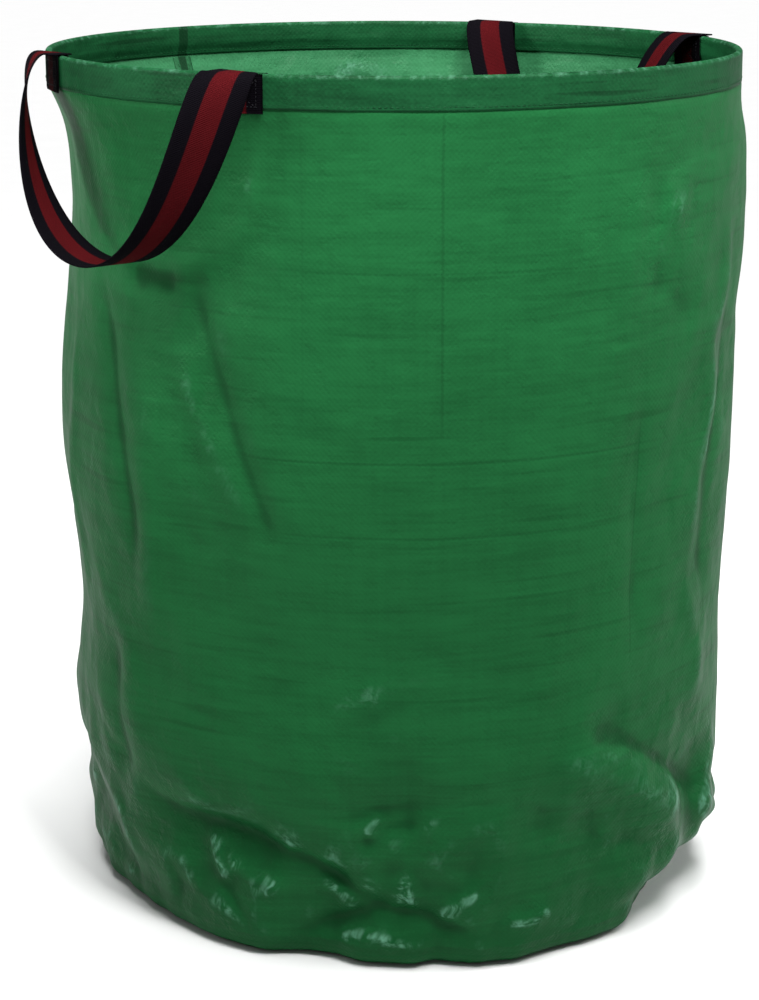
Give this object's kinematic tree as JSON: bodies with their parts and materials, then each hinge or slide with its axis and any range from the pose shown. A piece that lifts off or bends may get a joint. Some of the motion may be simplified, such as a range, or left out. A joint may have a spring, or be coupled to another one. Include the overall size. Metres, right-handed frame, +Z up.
{
  "type": "garden waste bag",
  "caption": "Round open-topped woven garden waste bag with a hooped rim, sewn-in base and striped webbing loop handles.",
  "frame": {"origin": "centre of the base's underside, on the ground", "axes": "+Z up through the mouth; the outside-hanging handle is at -X, the inside-hanging handle near +X, the side seam at +Y"},
  "size_m": [0.727, 0.674, 0.8276],
  "materials": {
    "woven_wall": "satin",
    "woven_base": "satin",
    "woven_hem": "satin",
    "seam_tape": "matte",
    "webbing": "matte",
    "thread": "matte",
    "hoop_plastic": "satin",
    "sleeve_plastic": "matte"
  },
  "bodies": {
    "bag": {"side_wall": "woven_wall", "base_disc": "woven_base", "base_seam_binding": "seam_tape", "base_seam_thread": "thread", "side_seam_tape": "seam_tape", "side_seam_thread_left": "thread", "side_seam_thread_right": "thread"},
    "rim": {"hem_band": "woven_hem", "rim_hoop": "hoop_plastic", "hoop_joint_sleeve": "sleeve_plastic", "hem_thread_outer": "thread", "hem_thread_inner": "thread", "handle_front_outer_tab_left": "webbing", "handle_front_outer_tab_right": "webbing", "handle_front_inner_tab_left": "webbing", "handle_front_inner_tab_right": "webbing", "handle_back_outer_tab_left": "webbing", "handle_back_outer_tab_right": "webbing", "handle_back_inner_tab_left": "webbing", "handle_back_inner_tab_right": "webbing", "handle_front_box_stitch_left": "thread", "handle_front_box_stitch_right": "thread", "handle_back_box_stitch_left": "thread", "handle_back_box_stitch_right": "thread"},
    "handle_front": {"handle_front_loop": "webbing"},
    "handle_back": {"handle_back_loop": "webbing"}
  },
  "joints": [
    {"name": "collapse", "type": "slide", "parent": "bag", "child": "rim", "axis": [0, 0, -1], "range_m": [0, 0.5], "deforming": ["side_wall", "side_seam_tape", "side_seam_thread_left", "side_seam_thread_right"]},
    {"name": "handle_front_swing", "type": "hinge", "parent": "rim", "child": "handle_front", "pos_m": [-0.30391, 0, 0.82605], "axis": [0, 1, 0], "range_deg": [0, 180]},
    {"name": "handle_back_swing", "type": "hinge", "parent": "rim", "child": "handle_back", "pos_m": [0.30306, 0.02279, 0.82605], "axis": [-0.075, 0.9972, 0], "range_deg": [0, 180]}
  ]
}
